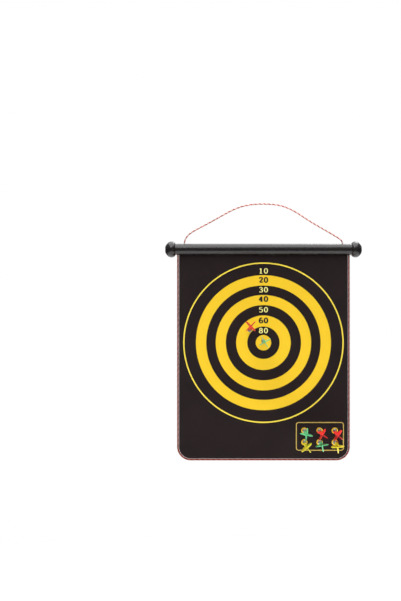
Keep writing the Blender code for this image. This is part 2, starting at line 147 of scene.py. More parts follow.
CLOTH_CORNER_RADIUS = 0.0257
FOLD_REACH = 0.0120  # the mat bends over this length below its fold line
FOLD_ROWS = 8  # rows of faces across that length
MAT_TUCK = 0.0006  # how far the mat's layers reach above the tube's underside
EDGE_TUCK = 0.0002
STITCH_MARGIN = 0.0049
STITCH_PITCH = 0.0052
STITCH_LENGTH = 0.0040
STITCH_WIDTH = 0.0011

# Inks stand this far out of the cloth, one above the other where they cross
INK_SUNK = 0.00008
FIELD_INK = 0.00009
BAND_INK = 0.00012
LINE_INK = 0.00015
NUMBER_INK = 0.00018
STROKE_STEP = 0.000004

RING_CENTRE_Z = TUBE_Z - 0.2050
RING_LINE = (0.1736, 0.1765)
RING_BANDS = ((0.1258, 0.1484), (0.0827, 0.1049), (0.0356, 0.0600), (0.0000, 0.0170))
RING_NUMBER_HEIGHT = 0.0117
RING_NUMBER_STRETCH = 1.15  # across, on the numeral's own shape
RING_NUMBER_SPACE = 0.20  # between two numerals, as a share of the height
RING_NUMBER_INKS = (("yellow", "ink_pale", (0.050, 0.094)), ("black", "ink_black", (0.088, 0.155)))
RING_NUMBERS = (  # number, height of its middle above the target's centre, ink
    ("10", 0.1580, "yellow"),
    ("20", 0.1380, "black"),
    ("30", 0.1165, "yellow"),
    ("40", 0.0960, "black"),
    ("50", 0.0725, "yellow"),
    ("60", 0.0490, "black"),
    ("80", 0.0267, "yellow"),
)

BOX_MARGIN_LEFT = 0.0177  # from the outer spots' centres to the middle of the box's line
BOX_MARGIN_RIGHT = 0.0190
BOX_MARGIN_TOP = 0.0178
BOX_MARGIN_BOTTOM = 0.0175
BOX_LINE_WIDTH = 0.0020
BOX_CORNER_RADIUS = 0.0062
SPOT_RADIUS = 0.0068
SPOT_CENTRE_RADIUS = 0.72 * SPOT_RADIUS

CLOCK_CENTRE_Z = TUBE_Z - 0.2200
CLOCK_ORDER = (20, 1, 18, 4, 13, 6, 10, 15, 2, 17, 3, 19, 7, 16, 8, 11, 14, 9, 12, 5)
CLOCK_PALE = (20, 18, 13, 10, 2, 3, 7, 8, 14, 12)
CLOCK_ANGLE = 18  # degrees from one number to the next
CLOCK_HUB = 0.0172  # the fields and wires begin at this radius
CLOCK_FIELDS = ((CLOCK_HUB, 0.0840), (0.0992, 0.1377))
CLOCK_BULL = 0.0050
CLOCK_BULL_RING = 0.0081
CLOCK_DOUBLE = (0.1388, 0.1526)
CLOCK_TREBLE = (0.0850, 0.0981)
CLOCK_LINES = (
    (0.1526, 0.1550),
    (0.1366, 0.1388),
    (0.0981, 0.1003),
    (0.0830, 0.0850),
    (0.0162, 0.0182),
)
CLOCK_WIRE = 0.0020
CLOCK_WIRE_END = 0.1600
CLOCK_NUMBER_RADIUS = 0.1735
CLOCK_NUMBER_STYLE = (0.0158, 1.10, 0.13)  # height, stretch across, space between numerals
CLOCK_NUMBER_PEN = (0.062, 0.112)

FRONT_FACE = Matrix(((1, 0, 0, 0), (0, 0, -1, -CLOTH_FACE), (0, 1, 0, 0), (0, 0, 0, 1)))
BACK_FACE = Matrix(((-1, 0, 0, 0), (0, 0, 1, CLOTH_FACE), (0, 1, 0, 0), (0, 0, 0, 1)))
ALONG_TUBE = Matrix(((0, 0, 1, 0), (1, 0, 0, 0), (0, 1, 0, 0), (0, 0, 0, 1)))

# ---------------------------------------------------------------- camera

VIEW_HEIGHT = 1.3219  # seen from top to bottom of the view at the board
CAMERA_DISTANCE = 4.0
CAMERA_X = -0.1384
CAMERA_Z = -0.2107


def set_camera():
    data = bpy.data.cameras.new("camera")
    data.sensor_width = 36.0
    data.lens = data.sensor_width * CAMERA_DISTANCE / VIEW_HEIGHT
    camera = bpy.data.objects.new("camera", data)
    bpy.context.scene.collection.objects.link(camera)
    camera.location = (CAMERA_X, -CAMERA_DISTANCE, CAMERA_Z)
    camera.rotation_euler = (math.radians(90), 0, 0)
    bpy.context.scene.camera = camera


set_camera()

# ---------------------------------------------------------------- node helpers


def add_node(tree, kind, inputs=None, **settings):
    """A node with its settings, each input either linked to a socket or given a value."""
    node = tree.nodes.new(kind)
    for name, value in settings.items():
        setattr(node, name, value)
    for key, value in (inputs or {}).items():
        if isinstance(value, bpy.types.NodeSocket):
            tree.links.new(value, node.inputs[key])
        else:
            node.inputs[key].default_value = value
    return node


def maths(tree, operation, a, b=0.0):
    return add_node(tree, "ShaderNodeMath", {0: a, 1: b}, operation=operation).outputs[0]


def noise(tree, vector, scale, detail=2.0, distortion=0.0):
    inputs = {"Vector": vector, "Scale": scale, "Detail": detail, "Distortion": distortion}
    return add_node(tree, "ShaderNodeTexNoise", inputs).outputs["Fac"]


def stretched(tree, vector, scale):
    return add_node(tree, "ShaderNodeMapping", {"Vector": vector, "Scale": scale}).outputs[0]


def ramp(tree, factor, stops):
    """Colours (or grey levels) blended along a factor, as (place, colour) stops."""
    node = add_node(tree, "ShaderNodeValToRGB", {"Fac": factor})
    elements = node.color_ramp.elements
    while len(elements) < len(stops):
        elements.new(0.5)
    for element, (place, colour) in zip(elements, stops):
        element.position = place
        grey = isinstance(colour, (int, float))
        element.color = (colour, colour, colour, 1.0) if grey else (*colour, 1.0)
    return node.outputs["Color"]


def mixed(tree, factor, a, b):
    node = add_node(tree, "ShaderNodeMix", data_type="RGBA")
    for socket, value in ((node.inputs[0], factor), (node.inputs[6], a), (node.inputs[7], b)):
        if isinstance(value, bpy.types.NodeSocket):
            tree.links.new(value, socket)
        elif isinstance(value, tuple):
            socket.default_value = (*value, 1.0)
        else:
            socket.default_value = value
    return node.outputs[2]


def shade(colour, share):
    return tuple(channel * share for channel in colour)


def start_material(name, **values):
    """A material, its tree and its shader, with plain values set on the shader's sockets."""
    material = bpy.data.materials.new(name)
    material.use_nodes = True
    tree = material.node_tree
    shader = tree.nodes["Principled BSDF"]
    for key, value in values.items():
        socket = shader.inputs[key.replace("_", " ")]
        socket.default_value = (*value, 1.0) if isinstance(value, tuple) else value
    return material, tree, shader


def object_point(tree):
    return add_node(tree, "ShaderNodeTexCoord").outputs["Object"]


def flat_point(tree):
    """Place on the flat cloth in metres, from the piece's own map."""
    return add_node(tree, "ShaderNodeUVMap", uv_map="flat").outputs["UV"]


def paint(tree, shader, colour=None, roughness=None, height=None, strength=0.2, depth=0.0003):
    if colour is not None:
        tree.links.new(colour, shader.inputs["Base Color"])
    if roughness is not None:
        tree.links.new(roughness, shader.inputs["Roughness"])
    if height is not None:
        inputs = {"Height": height, "Strength": strength, "Distance": depth}
        bump = add_node(tree, "ShaderNodeBump", inputs)
        tree.links.new(bump.outputs[0], shader.inputs["Normal"])


# ---------------------------------------------------------------- materials


def moulded_plastic():
    """Semi-gloss brown-black plastic with a faint orange peel and handling marks."""
    material, tree, shader = start_material("header_plastic", Specular_IOR_Level=0.45)
    point = object_point(tree)
    cloudy = noise(tree, point, 45, 4)
    colour = ramp(tree, cloudy, [(0.3, (0.0080, 0.0066, 0.0064)), (0.7, (0.0130, 0.0106, 0.0102))])
    rubbed = noise(tree, stretched(tree, point, (1, 6, 6)), 60, 6, 0.6)
    roughness = ramp(tree, rubbed, [(0.3, 0.20), (0.7, 0.30)])
    peel = noise(tree, point, 900, 2)
    paint(tree, shader, colour, roughness, peel, 0.07, 0.0002)
    return material


def felt(point_of, name):
    """Dark felted cloth: matted fibres, a slight nap that lies in patches, and sheen."""
    values = {"Sheen_Weight": 0.04, "Sheen_Roughness": 0.45, "Specular_IOR_Level": 0.10}
    material, tree, shader = start_material(name, **values)
    shader.inputs["Sheen Tint"].default_value = (0.75, 0.66, 0.62, 1.0)
    point = point_of(tree)
    fibres = noise(tree, point, 1500, 6, 1.2)
    lying = noise(tree, stretched(tree, point, (700, 2600, 700)), 1, 4, 0.8)
    nap = noise(tree, point, 14, 5, 0.5)
    matted = maths(tree, "MULTIPLY", maths(tree, "ADD", fibres, lying), 0.5)
    dark, pale = (0.0098, 0.0065, 0.0066), (0.030, 0.0200, 0.0206)
    colour = ramp(tree, matted, [(0.34, dark), (0.66, pale)])
    patches = ramp(tree, nap, [(0.3, 0.82), (0.7, 1.0)])
    toned = add_node(tree, "ShaderNodeMix", data_type="RGBA", blend_type="MULTIPLY")
    toned.inputs[0].default_value = 1.0
    tree.links.new(colour, toned.inputs[6])
    tree.links.new(patches, toned.inputs[7])
    roughness = ramp(tree, matted, [(0.3, 0.98), (0.7, 0.86)])
    paint(tree, shader, toned.outputs[2], roughness, matted, 0.45, 0.0004)
    return material


def ink(name, colour, worn=0.10, grain=0.12):
    """Printing ink that lies in the nap, with a grain and with pinholes that show the felt."""
    material, tree, shader = start_material(name, Specular_IOR_Level=0.25)
    point = object_point(tree)
    cloth = noise(tree, point, 1500, 6, 1.2)
    laid = noise(tree, point, 30, 4, 0.4)
    deep = ramp(tree, cloth, [(0.35, shade(colour, 1 - 2 * grain)), (0.62, colour)])
    toned = mixed(tree, ramp(tree, laid, [(0.35, 0.0), (0.7, 0.35)]), deep, shade(colour, 1 - grain))
    pinholes = ramp(tree, noise(tree, point, 2600, 3), [(0.62, 0.0), (0.72, worn * 3)])
    finished = mixed(tree, pinholes, toned, (0.03, 0.023, 0.02))
    roughness = ramp(tree, cloth, [(0.3, 0.72), (0.7, 0.58)])
    paint(tree, shader, finished, roughness, cloth, 0.30, 0.0003)
    return material


def yarn(name, colour):
    """One strand of a cord: fine fibres that wind round it, with painted shade between them."""
    values = {"Sheen_Weight": 0.02, "Sheen_Roughness": 0.4, "Specular_IOR_Level": 0.08}
    material, tree, shader = start_material(name, **values)
    along = add_node(tree, "ShaderNodeAttribute", attribute_name="along").outputs["Fac"]
    round_yarn = add_node(tree, "ShaderNodeAttribute", attribute_name="round").outputs["Vector"]
    turn = maths(tree, "MULTIPLY", along, -math.tau / FIBRE_LEAD)
    inputs = {"Vector": round_yarn, "Angle": turn}
    wound = add_node(tree, "ShaderNodeVectorRotate", inputs, rotation_type="Z_AXIS").outputs[0]
    lift = add_node(tree, "ShaderNodeCombineXYZ", {"Z": maths(tree, "MULTIPLY", along, 90)})
    place = add_node(tree, "ShaderNodeVectorMath", {0: wound, 1: lift.outputs[0]}, operation="ADD")
    fibres = noise(tree, place.outputs[0], 3.5, 5, 0.3)
    # The ramp's dark end, 0.55 of the yarn's colour, is painted shade between the fibres.
    tint = ramp(tree, fibres, [(0.32, shade(colour, 0.55)), (0.60, colour)])
    roughness = ramp(tree, fibres, [(0.3, 0.95), (0.7, 0.75)])
    paint(tree, shader, tint, roughness, fibres, 0.5, 0.0003)
    return material


def knotted_yarn():
    """Red and white yarn pulled tight, in turns that lie across each other."""
    values = {"Sheen_Weight": 0.15, "Sheen_Roughness": 0.4, "Specular_IOR_Level": 0.2}
    material, tree, shader = start_material("knotted_yarn", **values)
    point = object_point(tree)
    inputs = {"Vector": point, "Scale": 90.0, "Distortion": 1.5, "Detail": 1.0}
    turns = add_node(tree, "ShaderNodeTexWave", inputs, bands_direction="DIAGONAL").outputs["Fac"]
    colour = ramp(tree, turns, [(0.40, (0.56, 0.055, 0.035)), (0.60, (0.80, 0.73, 0.66))])
    fibres = noise(tree, point, 2200, 5)
    roughness = ramp(tree, fibres, [(0.3, 0.95), (0.7, 0.75)])
    height = maths(tree, "ADD", turns, fibres)
    paint(tree, shader, colour, roughness, height, 0.5, 0.0006)
    return material


def nickel_plate():
    material, tree, shader = start_material("magnet_nickel", Metallic=0.55)
    point = object_point(tree)
    bloom = noise(tree, point, 700, 4)
    colour = ramp(tree, bloom, [(0.3, (0.86, 0.85, 0.84)), (0.7, (0.94, 0.93, 0.92))])
    roughness = ramp(tree, noise(tree, point, 1800, 5), [(0.3, 0.36), (0.7, 0.52)])
    paint(tree, shader, colour, roughness, bloom, 0.05, 0.0001)
    return material


def turned_steel(name, axis, ring):
    """Bright steel with fine tool marks round the given axis, so many metres apart."""
    material, tree, shader = start_material(name, Metallic=1.0)
    point = object_point(tree)
    inputs = {"Vector": point, "Scale": math.tau / 20 / ring, "Distortion": 0.6, "Detail": 2.0}
    marks = add_node(tree, "ShaderNodeTexWave", inputs, bands_direction=axis).outputs["Fac"]
    stain = noise(tree, point, 260, 5)
    colour = ramp(tree, stain, [(0.3, (0.40, 0.39, 0.37)), (0.7, (0.56, 0.55, 0.54))])
    roughness = ramp(tree, stain, [(0.3, 0.34), (0.7, 0.22)])
    paint(tree, shader, colour, roughness, marks, 0.12, 0.0001)
    return material


def drawn_steel():
    """Rod with draw marks along its length."""
    material, tree, shader = start_material("rod_steel", Metallic=1.0)
    streaks = noise(tree, stretched(tree, object_point(tree), (12, 1600, 1600)), 1, 4)
    colour = ramp(tree, streaks, [(0.3, (0.42, 0.42, 0.44)), (0.7, (0.54, 0.54, 0.56))])
    roughness = ramp(tree, streaks, [(0.3, 0.42), (0.7, 0.28)])
    paint(tree, shader, colour, roughness, streaks, 0.15, 0.0001)
    return material


def dart_plastic(name, colour):
    """Moulded plastic with a satin skin, flow marks and a slight unevenness of colour."""
    material, tree, shader = start_material(name, Specular_IOR_Level=0.5)
    point = object_point(tree)
    flow = noise(tree, point, 160, 4, 1.5)
    tint = ramp(tree, flow, [(0.3, shade(colour, 0.90)), (0.65, colour)])
    skin = noise(tree, point, 700, 3)
    roughness = ramp(tree, flow, [(0.3, 0.42), (0.7, 0.30)])
    paint(tree, shader, tint, roughness, skin, 0.03, 0.0002)
    return material


def filled_rubber():
    """Rubber sheet filled with iron powder."""
    material, tree, shader = start_material("ferrous_sheet", Specular_IOR_Level=0.35)
    point = flat_point(tree)
    specks = noise(tree, point, 1800, 5)
    colour = ramp(tree, specks, [(0.45, (0.070, 0.068, 0.072)), (0.72, (0.15, 0.148, 0.155))])
    roughness = ramp(tree, specks, [(0.4, 0.66), (0.7, 0.48)])
    paint(tree, shader, colour, roughness, specks, 0.2, 0.0002)
    return material


def sewing_thread():
    material, tree, shader = start_material("sewing_thread", Specular_IOR_Level=0.3)
    twist = noise(tree, flat_point(tree), 2400, 3)
    # Near-black, darker than the felt: the thread's own dark colour plus painted shade of the stitch
    # holes.
    colour = ramp(tree, twist, [(0.35, (0.004, 0.0034, 0.003)), (0.65, (0.014, 0.012, 0.011))])
    roughness = ramp(tree, twist, [(0.3, 0.8), (0.7, 0.62)])
    paint(tree, shader, colour, roughness, twist, 0.4, 0.0002)
    return material


FLOOR_GLOW = 0.66


def studio_floor():
    material, tree, shader = start_material("studio_floor", Specular_IOR_Level=0.1)
    shader.inputs["Emission Color"].default_value = (1.0, 1.0, 1.0, 1.0)
    shader.inputs["Emission Strength"].default_value = FLOOR_GLOW
    point = object_point(tree)
    colour = ramp(tree, noise(tree, point, 0.8, 2), [(0.3, 0.88), (0.7, 0.90)])
    roughness = ramp(tree, noise(tree, point, 3, 2), [(0, 0.9), (1, 0.95)])
    paint(tree, shader, colour, roughness)
    return material


YELLOW = (0.94, 0.610, 0.020)
TAN = (0.84, 0.60, 0.28)
RED = (0.75, 0.036, 0.062)
GREEN = (0.050, 0.40, 0.090)
ORANGE = (0.86, 0.30, 0.03)
MATERIALS = {
    "header_plastic": moulded_plastic(),
    "mat_felt": felt(flat_point, "mat_felt"),
    "hem_felt": felt(object_point, "hem_felt"),
    "ink_yellow": ink("ink_yellow", YELLOW, 0.05, 0.06),
    "ink_black": ink("ink_black", (0.016, 0.012, 0.011), 0.0, 0.10),
    "ink_gold": ink("ink_gold", (0.60, 0.43, 0.10), 0.15),
    "ink_orange": ink("ink_orange", ORANGE),
    "ink_tan": ink("ink_tan", TAN, 0.16, 0.14),
    "ink_red": ink("ink_red", RED, 0.06),
    "ink_green": ink("ink_green", GREEN, 0.06),
    "ink_pale": ink("ink_pale", (1.0, 0.94, 0.32), 0.03, 0.05),
    "ink_bright": ink("ink_bright", (0.97, 0.76, 0.075), 0.04, 0.06),
    "yarn_red": yarn("yarn_red", (0.66, 0.075, 0.060)),
    "yarn_white": yarn("yarn_white", (0.88, 0.64, 0.57)),
    "yarn_maroon": yarn("yarn_maroon", (0.110, 0.008, 0.008)),
    "yarn_orange": yarn("yarn_orange", (0.46, 0.050, 0.030)),
    "yarn_salmon": yarn("yarn_salmon", (0.62, 0.20, 0.14)),
    "knotted_yarn": knotted_yarn(),
    "magnet_nickel": nickel_plate(),
    "dart_steel": turned_steel("dart_steel", "Y", 0.0003),
    "rod_steel": drawn_steel(),
    "dart_red": dart_plastic("dart_red", (0.86, 0.020, 0.020)),
    "dart_green": dart_plastic("dart_green", (0.130, 0.64, 0.27)),
    "dart_yellow": dart_plastic("dart_yellow", (0.96, 0.80, 0.02)),
    "ferrous_sheet": filled_rubber(),
    "sewing_thread": sewing_thread(),
    "studio_floor": studio_floor(),
}

# ---------------------------------------------------------------- mesh helpers


def add_object(name, data):
    obj = bpy.data.objects.new(name, data)
    bpy.context.scene.collection.objects.link(obj)
    return obj


def bmesh_from(mesh):
    bm = bmesh.new()
    bm.from_mesh(mesh)
    return bm


def baked(obj, weld=None):
    """The object again as a plain mesh, with its modifiers applied and its caps welded."""
    graph = bpy.context.evaluated_depsgraph_get()
    mesh = bpy.data.meshes.new_from_object(obj.evaluated_get(graph), depsgraph=graph)
    name = obj.name
    bpy.data.objects.remove(obj)
    if weld:
        bm = bmesh_from(mesh)
        bmesh.ops.remove_doubles(bm, verts=bm.verts, dist=weld)
        bmesh.ops.recalc_face_normals(bm, faces=bm.faces)
        bm.to_mesh(mesh)
        bm.free()
    mesh.name = name
    return add_object(name, mesh)


def smooth_shaded(obj, angle=30):
    obj.data.shade_smooth()
    obj.data.set_sharp_from_angle(angle=math.radians(angle))
    return obj


def coloured(obj, material):
    obj.data.materials.clear()
    obj.data.materials.append(MATERIALS[material])
    return obj


def arc(centre, radius, start, end, steps):
    """Points on an arc from start to end degrees, both included."""
    x, y = centre
    angles = [math.radians(start + (end - start) * i / steps) for i in range(steps + 1)]
    return [(x + radius * math.cos(a), y + radius * math.sin(a)) for a in angles]


def circle(centre, radius, steps=120):
    return arc(centre, radius, 0, 360, steps)[:-1]


def smooth_line(points, steps):
    """Points on a smooth curve through these points, with so many steps between two."""
    line = [points[0]]
    for i in range(len(points) - 1):
        before = points[max(i - 1, 0)]
        after = points[min(i + 2, len(points) - 1)]
        start, end = points[i], points[i + 1]
        reach = (end - start).length / 3
        leave = start + (end - before).normalized() * reach
        arrive = end - (after - start).normalized() * reach
        line += interpolate_bezier(start, leave, arrive, end, steps + 1)[1:]
    return line


def plate(name, outlines, bottom, top):
    """A flat plate of closed outlines (holes included) between two heights."""
    curve = bpy.data.curves.new(name, "CURVE")
    curve.dimensions = "2D"
    curve.fill_mode = "BOTH"
    curve.extrude = (top - bottom) / 2
    for outline in outlines:
        spline = curve.splines.new("POLY")
        spline.points.add(len(outline) - 1)
        for point, (x, y) in zip(spline.points, outline):
            point.co = (x, y, 0, 1)
        spline.use_cyclic_u = True
    obj = baked(add_object(name, curve), 1e-7)
    obj.data.transform(Matrix.Translation((0, 0, (top + bottom) / 2)))
    return obj


def joined(name, objects, place):
    """Several meshes as one piece, moved to its place."""
    bm = bmesh.new()
    for obj in objects:
        bm.from_mesh(obj.data)
    mesh = bpy.data.meshes.new(name)
    bm.to_mesh(mesh)
    bm.free()
    for obj in objects:
        bpy.data.objects.remove(obj)
    mesh.transform(place)
    return add_object(name, mesh)


def curve_through(name, points):
    curve = bpy.data.curves.new(name, "CURVE")
    curve.dimensions = "3D"
    spline = curve.splines.new("POLY")
    spline.points.add(len(points) - 1)
    for point, place in zip(spline.points, points):
        point.co = (*place, 1)
    return add_object(name, curve)


# ---------------------------------------------------------------- geometry node trees


def start_tree(name, sizes):
    """A geometry tree with named float inputs; returns the tree, its inputs and its outlet."""
    tree = bpy.data.node_groups.new(name, "GeometryNodeTree")
    tree.interface.new_socket("Geometry", in_out="INPUT", socket_type="NodeSocketGeometry")
    for size_name, value in sizes.items():
        socket = tree.interface.new_socket(size_name, in_out="INPUT", socket_type="NodeSocketFloat")
        socket.default_value = value
    tree.interface.new_socket("Geometry", in_out="OUTPUT", socket_type="NodeSocketGeometry")
    inlet = tree.nodes.new("NodeGroupInput")
    outlet = tree.nodes.new("NodeGroupOutput")
    return tree, inlet.outputs, outlet.inputs[0]


def run_tree(obj, tree, **sizes):
    """Give the object the tree with these sizes, and return the result as a plain mesh."""
    modifier = obj.modifiers.new(tree.name, "NODES")
    modifier.node_group = tree
    for item in tree.interface.items_tree:
        key = item.name.replace(" ", "_").lower()
        if item.in_out == "INPUT" and key in sizes:
            modifier[item.identifier] = sizes[key]
    return baked(obj)


def twisted_cord_tree(name, yarns):
    """Winds one round strand for each yarn about the curve, and dresses each in its yarn."""
    sizes = {"Cord Radius": 0.0015, "Strand Radius": 0.0007, "Lead": 0.012, "Step": 0.0009}
    tree, inlet, outlet = start_tree(name, sizes)
    inputs = {"Curve": inlet["Geometry"], "Length": inlet["Step"]}
    line = add_node(tree, "GeometryNodeResampleCurve", inputs, mode="LENGTH").outputs[0]
    length = add_node(tree, "GeometryNodeSplineParameter").outputs["Length"]
    turn = maths(tree, "MULTIPLY", maths(tree, "DIVIDE", length, inlet["Lead"]), math.tau)
    line = add_node(tree, "GeometryNodeSetCurveTilt", {"Curve": line, "Tilt": turn}).outputs[0]
    inputs = {"Geometry": line, "Name": "along", "Value": length}
    line = add_node(tree, "GeometryNodeStoreNamedAttribute", inputs).outputs[0]

    section = add_node(tree, "GeometryNodeCurvePrimitiveCircle", {"Resolution": 9, "Radius": 1.0})
    place = add_node(tree, "GeometryNodeInputPosition").outputs[0]
    inputs = {"Geometry": section.outputs["Curve"], "Name": "round", "Value": place}
    rim = add_node(tree, "GeometryNodeStoreNamedAttribute", inputs, data_type="FLOAT_VECTOR")
    ring_radius = maths(tree, "SUBTRACT", inlet["Cord Radius"], inlet["Strand Radius"])
    inputs = {"Vertices": len(yarns), "Radius": ring_radius}
    centres = add_node(tree, "GeometryNodeMeshCircle", inputs).outputs[0]
    inputs = {"Points": centres, "Instance": rim.outputs[0], "Scale": inlet["Strand Radius"]}
    strands = add_node(tree, "GeometryNodeInstanceOnPoints", inputs).outputs[0]
    number = add_node(tree, "GeometryNodeInputIndex").outputs[0]
    inputs = {"Geometry": strands, "Name": "strand", "Value": number}
    settings = {"data_type": "INT", "domain": "INSTANCE"}
    strands = add_node(tree, "GeometryNodeStoreNamedAttribute", inputs, **settings).outputs[0]
    strands = add_node(tree, "GeometryNodeRealizeInstances", {"Geometry": strands}).outputs[0]

    inputs = {"Curve": line, "Profile Curve": strands, "Fill Caps": True}
    cord = add_node(tree, "GeometryNodeCurveToMesh", inputs).outputs[0]
    cord = add_node(tree, "GeometryNodeRealizeInstances", {"Geometry": cord}).outputs[0]
    which = add_node(tree, "GeometryNodeInputNamedAttribute", {"Name": "strand"}, data_type="INT")
    for index, material in enumerate(yarns):
        same = add_node(tree, "FunctionNodeCompare", data_type="INT", operation="EQUAL")
        tree.links.new(which.outputs["Attribute"], same.inputs[2])
        same.inputs[3].default_value = index
        inputs = {"Geometry": cord, "Selection": same.outputs[0], "Material": MATERIALS[material]}
        cord = add_node(tree, "GeometryNodeSetMaterial", inputs).outputs[0]
    tree.links.new(cord, outlet)
    return tree


def stitch_tree(name, material):
    """Lays short stitches along the curve, end to end with a small space between them."""
    sizes = {"Pitch": 0.003, "Stitch Length": 0.0024, "Stitch Width": 0.0006}
    tree, inlet, outlet = start_tree(name, sizes)
    inputs = {"Curve": inlet["Geometry"], "Length": inlet["Pitch"]}
    line = add_node(tree, "GeometryNodeResampleCurve", inputs, mode="LENGTH").outputs[0]
    tangent = add_node(tree, "GeometryNodeInputTangent").outputs[0]
    along = add_node(tree, "FunctionNodeAlignRotationToVector", {"Vector": tangent}, axis="X")
    grain = {"Segments": 6, "Rings": 4, "Radius": 0.5}
    bead = add_node(tree, "GeometryNodeMeshUVSphere", grain).outputs[0]
    width = inlet["Stitch Width"]
    shape = add_node(tree, "ShaderNodeCombineXYZ", {0: inlet["Stitch Length"], 1: width, 2: width})
    inputs = {
        "Points": line,
        "Instance": bead,
        "Rotation": along.outputs[0],
        "Scale": shape.outputs[0],
    }
    stitches = add_node(tree, "GeometryNodeInstanceOnPoints", inputs).outputs[0]
    stitches = add_node(tree, "GeometryNodeRealizeInstances", {"Geometry": stitches}).outputs[0]
    inputs = {"Geometry": stitches, "Material": MATERIALS[material]}
    tree.links.new(add_node(tree, "GeometryNodeSetMaterial", inputs).outputs[0], outlet)
    return tree


# ---------------------------------------------------------------- hanging cord


def make_hanging_cord():
    route = [Vector((x, 0, z)) for x, z in CORD_ROUTE]
    line = smooth_line(route, 12)
    down = Vector((0, 0, -CORD_INTO_HOLE))
    line = [line[0] + down] + line + [line[-1] + down]
    tree = twisted_cord_tree("four_strand_cord", ["yarn_red", "yarn_red", "yarn_white", "yarn_white"])
    sizes = {
        "cord_radius": CORD_DIAMETER / 2,
        "strand_radius": CORD_DIAMETER / 2 * STRAND_SHARE,
        "lead": CORD_LEAD,
        "step": 0.0008,
    }
    cord = smooth_shaded(run_tree(curve_through("twisted_hanging_cord", line), tree, **sizes), 60)
    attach(cord, "hanging_loop")
    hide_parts("hanging_cord")


make_hanging_cord()

# ---------------------------------------------------------------- mat


def mat_line(half, bottom, radius, top, steps=14):
    """Down the left side, round both lower corners and up the right side."""
    left = arc((radius - half, bottom + radius), radius, 180, 270, steps)
    right = arc((half - radius, bottom + radius), radius, 270, 360, steps)
    return [(-half, top)] + left + right + [(half, top)]


def bend_at_fold(piece):
    """Bakes the piece's place into its mesh."""
    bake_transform(piece)


def give_flat_map(mesh):
    """A map of each point's place on the flat cloth, in metres."""
    layer = mesh.uv_layers.new(name="flat")
    for loop in mesh.loops:
        place = mesh.vertices[loop.vertex_index].co
        layer.data[loop.index].uv = (place.x, place.z)


def mat_layer(name, inset, y_low, y_high):
    """One layer of the mat, with rows of points across it where it bends."""
    half = CLOTH_HIGH.x - inset
    bottom = CLOTH_LOW.z + inset
    outline = mat_line(half, bottom, CLOTH_CORNER_RADIUS - inset, TUBE_UNDERSIDE + MAT_TUCK)
    layer = plate(name, [outline], 0, y_high - y_low)
    layer.data.transform(Matrix(((1, 0, 0, 0), (0, 0, -1, y_high), (0, 1, 0, 0), (0, 0, 0, 1))))
    bm = bmesh_from(layer.data)
    for step in range(FOLD_ROWS + 1):
        cut = FOLD_Z - FOLD_REACH * step / FOLD_ROWS
        everything = bm.verts[:] + bm.edges[:] + bm.faces[:]
        bmesh.ops.bisect_plane(bm, geom=everything, plane_co=(0, 0, cut), plane_no=(0, 0, 1))
    bmesh.ops.recalc_face_normals(bm, faces=bm.faces)
    bm.to_mesh(layer.data)
    bm.free()
    give_flat_map(layer.data)
    return layer


def make_cloths():
    inner = CLOTH_FACE - CLOTH_THICKNESS
    sides = (("front", -CLOTH_FACE, -inner), ("back", inner, CLOTH_FACE))
    for side, y_low, y_high in sides:
        cloth = coloured(mat_layer(f"felt_{side}", 0, y_low, y_high), "mat_felt")
        bend_at_fold(cloth)
        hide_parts(f"{side}_cloth")


def make_core():
    half = CORE_THICKNESS / 2
    core = coloured(mat_layer("iron_filled_sheet", CORE_INSET, -half, half), "ferrous_sheet")
    bend_at_fold(core)
    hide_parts("ferrous_core")


def make_edge_cord():
    corner = EDGE_CORNER_RADIUS
    outline = mat_line(EDGE_HALF_WIDTH, EDGE_BOTTOM, corner, TUBE_UNDERSIDE + EDGE_TUCK, 30)
    line = [Vector((x, 0, z)) for x, z in outline]
    yarns = ["yarn_maroon", "yarn_orange", "yarn_maroon", "yarn_salmon"]
    sizes = {
        "cord_radius": EDGE_RADIUS,
        "strand_radius": EDGE_RADIUS * STRAND_SHARE,
        "lead": EDGE_LEAD,
        "step": 0.0010,
    }
    tree = twisted_cord_tree("edge_cord_strands", yarns)
    edge = smooth_shaded(run_tree(curve_through("twisted_edge_cord", line), tree, **sizes), 60)
    bend_at_fold(edge)
    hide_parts("edge_cord")


def make_stitches():
    tree = stitch_tree("running_stitch", "sewing_thread")
    outline = mat_line(
        CLOTH_HIGH.x - STITCH_MARGIN,
        CLOTH_LOW.z + STITCH_MARGIN,
        CLOTH_CORNER_RADIUS - STITCH_MARGIN,
        TUBE_UNDERSIDE - STITCH_PITCH / 2,
        20,
    )
    for side, y in (("front", -CLOTH_FACE), ("back", CLOTH_FACE)):
        line = [Vector((x, y, z)) for x, z in outline]
        sizes = {
            "pitch": STITCH_PITCH,
            "stitch_length": STITCH_LENGTH,
            "stitch_width": STITCH_WIDTH,
        }
        seam = smooth_shaded(run_tree(curve_through(f"seam_{side}", line), tree, **sizes), 60)
        give_flat_map(seam.data)
        bend_at_fold(seam)


make_cloths()
make_core()
make_edge_cord()
make_stitches()

# ---------------------------------------------------------------- numerals

